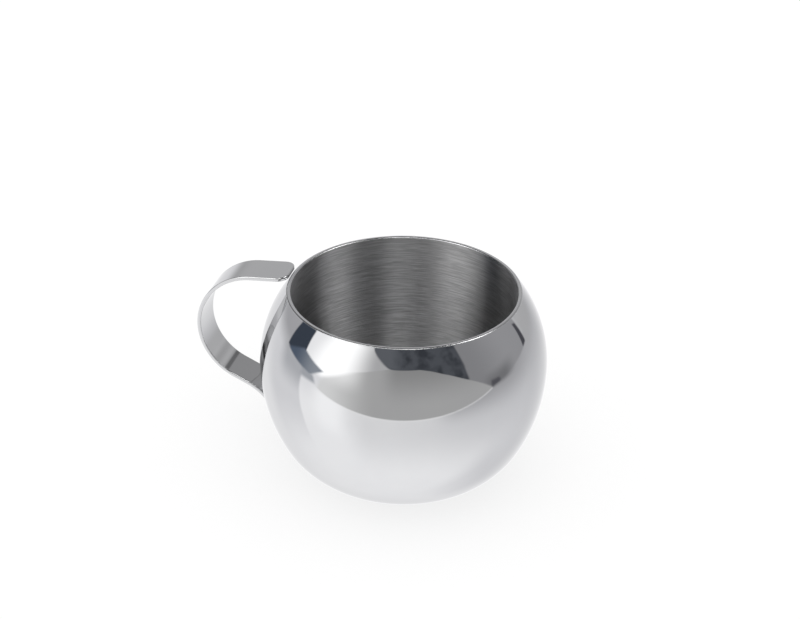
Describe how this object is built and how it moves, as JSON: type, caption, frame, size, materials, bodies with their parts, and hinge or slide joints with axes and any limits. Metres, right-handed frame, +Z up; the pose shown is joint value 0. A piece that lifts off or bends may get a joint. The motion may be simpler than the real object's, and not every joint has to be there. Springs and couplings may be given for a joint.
{
  "type": "shaving mug",
  "caption": "Double-walled, mirror-polished steel shaving mug with a ball-shaped body, a brushed inner cup and an open flat strip handle.",
  "frame": {"origin": "on the mug's axis, in the middle of the flat it stands on", "axes": "+Z up along the mug's axis; the handle points along -X; XZ is the plane of symmetry"},
  "size_m": [0.1112, 0.09, 0.0652],
  "materials": {
    "polished_steel": "mirror polished",
    "polished_lip": "ground and polished",
    "handle_steel": "polished, with eased edges",
    "brushed_liner": "brushed round its circumference",
    "base_steel": "satin",
    "weld_metal": "dressed weld"
  },
  "bodies": {
    "root": {"outer_shell": "polished_steel", "inner_cup": "brushed_liner", "rim_weld": "polished_lip", "base_disc": "base_steel", "base_weld": "weld_metal", "handle_strip": "handle_steel", "foot_weld_upper": "weld_metal", "foot_weld_lower": "weld_metal"}
  },
  "joints": []
}
